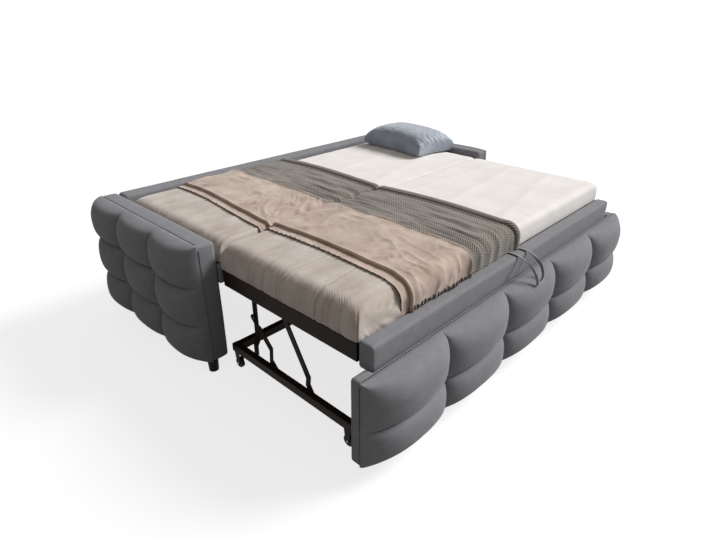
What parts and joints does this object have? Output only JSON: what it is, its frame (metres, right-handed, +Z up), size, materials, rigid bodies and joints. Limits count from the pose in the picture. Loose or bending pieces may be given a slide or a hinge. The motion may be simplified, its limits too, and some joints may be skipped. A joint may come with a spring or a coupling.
{
  "type": "upholstered trundle bed",
  "caption": "Upholstered daybed with tufted ends and a trundle that rolls out and rises on folding steel supports to make one wide bed.",
  "frame": {"origin": "middle of the whole bed's footprint, on the floor", "axes": "+X along the bed towards the pillow's end, +Y from the trundle's front to the daybed's back panel, +Z up"},
  "size_m": [2.396, 1.9223, 0.7446],
  "materials": {
    "upholstery": "matt brushed woven upholstery",
    "mattress_cover": "matt knitted ticking",
    "duvet_cover": "soft washed cotton",
    "beige_fleece": "soft fleece with a stitched edge",
    "grey_weave": "herringbone weave",
    "pillow_cover": "washed satin",
    "strap_webbing": "woven band",
    "dark_steel": "satin powder coat",
    "zinc_steel": "zinc plated",
    "birch": "pressed birch, clear coated",
    "timber": "planed softwood",
    "black_plastic": "moulded",
    "wheel_plastic": "moulded, satin"
  },
  "bodies": {
    "daybed": {"back_panel": "upholstery", "beam_hangers": "dark_steel", "bed_feet": "black_plastic", "centre_beam": "dark_steel", "corner_bolts": "zinc_steel", "corner_brackets": "dark_steel", "end_cushions_left": "upholstery", "end_cushions_right": "upholstery", "end_panel_left": "upholstery", "end_panel_right": "upholstery", "front_rail": "upholstery", "main_duvet": "duvet_cover", "main_mattress": "mattress_cover", "main_slats": "birch", "main_throw_beige": "beige_fleece", "main_throw_grey": "grey_weave", "pillow": "pillow_cover", "slat_ledgers": "timber"},
    "trundle_base": {"base_front_tube": "dark_steel", "base_pins": "zinc_steel", "base_rear_tube": "dark_steel", "base_side_tube_left": "dark_steel", "base_side_tube_right": "dark_steel", "board_bolts": "zinc_steel", "caster_axles": "zinc_steel", "caster_forks": "dark_steel", "front_board": "upholstery", "front_cushions": "upholstery"},
    "platform": {"platform_centre_tube": "dark_steel", "platform_front_tube": "dark_steel", "platform_pins": "zinc_steel", "platform_rear_tube": "dark_steel", "platform_side_tube_left": "dark_steel", "platform_side_tube_right": "dark_steel", "platform_slats": "birch", "pull_strap": "strap_webbing", "rail_bolts": "zinc_steel", "top_rail": "upholstery", "trundle_duvet": "duvet_cover", "trundle_mattress": "mattress_cover", "trundle_throw_beige": "beige_fleece", "trundle_throw_grey": "grey_weave"},
    "lift_arms": {"lift_arm_left": "dark_steel", "lift_arm_right": "dark_steel"},
    "prop_legs": {"catch_pins": "zinc_steel", "prop_leg_left": "dark_steel", "prop_leg_right": "dark_steel"},
    "stays": {"stay_left": "dark_steel", "stay_right": "dark_steel"},
    "wheel_front_left": {"caster_wheel_front_left": "wheel_plastic"},
    "wheel_front_right": {"caster_wheel_front_right": "wheel_plastic"},
    "wheel_rear_left": {"caster_wheel_rear_left": "wheel_plastic"},
    "wheel_rear_right": {"caster_wheel_rear_right": "wheel_plastic"}
  },
  "joints": [
    {"name": "roll_out", "type": "slide", "parent": "daybed", "child": "trundle_base", "axis": [0, -1, 0], "range_m": [0, 0.3]},
    {"name": "platform_drop", "type": "slide", "parent": "trundle_base", "child": "platform", "axis": [0, 0, -1], "range_m": [0, 0.25], "deforming": ["pull_strap"]},
    {"name": "arm_fold", "type": "hinge", "parent": "platform", "child": "lift_arms", "pos_m": [0, -0.2905, 0.445], "axis": [-1, 0, 0], "range_deg": [0, 46.5]},
    {"name": "leg_fold", "type": "hinge", "parent": "platform", "child": "prop_legs", "pos_m": [0, -0.0855, 0.445], "axis": [-1, 0, 0], "range_deg": [0, 73.2]},
    {"name": "stay_fold", "type": "hinge", "parent": "trundle_base", "child": "stays", "pos_m": [0, -0.2615, 0.105], "axis": [-1, 0, 0], "range_deg": [0, 34.1]},
    {"name": "wheel_front_left_roll", "type": "hinge", "parent": "trundle_base", "child": "wheel_front_left", "pos_m": [-0.985, -0.7195, 0.025], "axis": [1, 0, 0], "range_deg": [0, 690]},
    {"name": "wheel_front_right_roll", "type": "hinge", "parent": "trundle_base", "child": "wheel_front_right", "pos_m": [0.985, -0.7195, 0.025], "axis": [1, 0, 0], "range_deg": [0, 690]},
    {"name": "wheel_rear_left_roll", "type": "hinge", "parent": "trundle_base", "child": "wheel_rear_left", "pos_m": [-0.985, -0.0095, 0.025], "axis": [1, 0, 0], "range_deg": [0, 690]},
    {"name": "wheel_rear_right_roll", "type": "hinge", "parent": "trundle_base", "child": "wheel_rear_right", "pos_m": [0.985, -0.0095, 0.025], "axis": [1, 0, 0], "range_deg": [0, 690]}
  ],
  "couplings": [
    {"joint": "arm_fold", "follows": "platform_drop", "rad_per_m": 3.2335},
    {"joint": "leg_fold", "follows": "platform_drop", "rad_per_m": 5.0988},
    {"joint": "stay_fold", "follows": "platform_drop", "rad_per_m": 2.3736},
    {"joint": "wheel_front_left_roll", "follows": "roll_out", "rad_per_m": 40},
    {"joint": "wheel_front_right_roll", "follows": "roll_out", "rad_per_m": 40},
    {"joint": "wheel_rear_left_roll", "follows": "roll_out", "rad_per_m": 40},
    {"joint": "wheel_rear_right_roll", "follows": "roll_out", "rad_per_m": 40}
  ]
}
